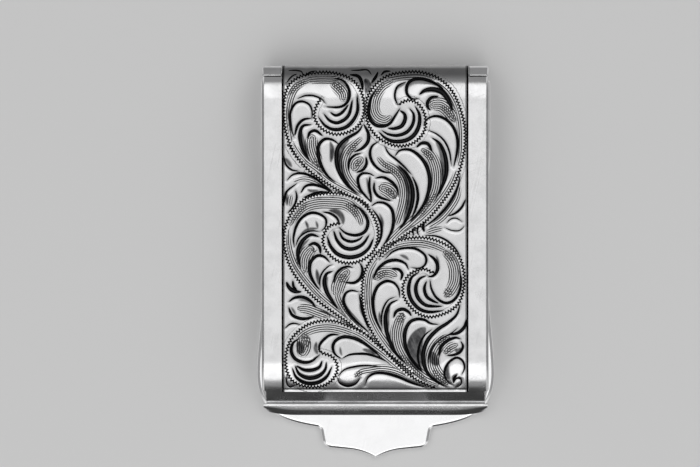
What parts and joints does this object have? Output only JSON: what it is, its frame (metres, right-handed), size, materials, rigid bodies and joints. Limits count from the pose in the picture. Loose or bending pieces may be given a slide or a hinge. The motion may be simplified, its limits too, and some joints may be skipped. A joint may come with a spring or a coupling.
{
  "type": "money clip",
  "caption": "Hinged metal money clip with a leaf-scroll engraved front plate that springs shut on a back plate with a scalloped thumb tab.",
  "frame": {"origin": "on the ground under the middle of the whole clip, which lies on its back", "axes": "+Z out of the engraved face, +Y towards the hinge end, +X to the right when the face is seen with the hinge at the top"},
  "size_m": [0.0334, 0.055, 0.0071],
  "materials": {
    "polished_silver": "polished silver with fine handling scratches",
    "engraved_silver": "hand-engraved silver, cuts darkened",
    "drawn_silver": "drawn and filed, left dull inside the hinge",
    "spring_wire": "bright spring steel wire"
  },
  "bodies": {
    "back": {"back_plate": "polished_silver", "back_knuckle_left": "polished_silver", "back_knuckle_right": "polished_silver", "hinge_pin": "drawn_silver", "back_keeper_left": "drawn_silver", "back_keeper_right": "drawn_silver"},
    "front": {"front_plate": "polished_silver", "engraved_panel": "engraved_silver", "lip_bar": "polished_silver", "middle_knuckle": "drawn_silver", "front_knuckle_left": "drawn_silver", "front_knuckle_right": "drawn_silver", "front_keeper_left": "drawn_silver", "front_keeper_right": "drawn_silver", "spring_left": "spring_wire", "spring_right": "spring_wire"}
  },
  "joints": [
    {"name": "front_hinge", "type": "hinge", "parent": "back", "child": "front", "pos_m": [0, 0.0257, 0.00335], "axis": [-1, 0, 0], "range_deg": [0, 50], "stiffness_Nm_per_rad": 0.1, "springref_deg": -34.38, "deforming": ["spring_left", "spring_right"]}
  ]
}
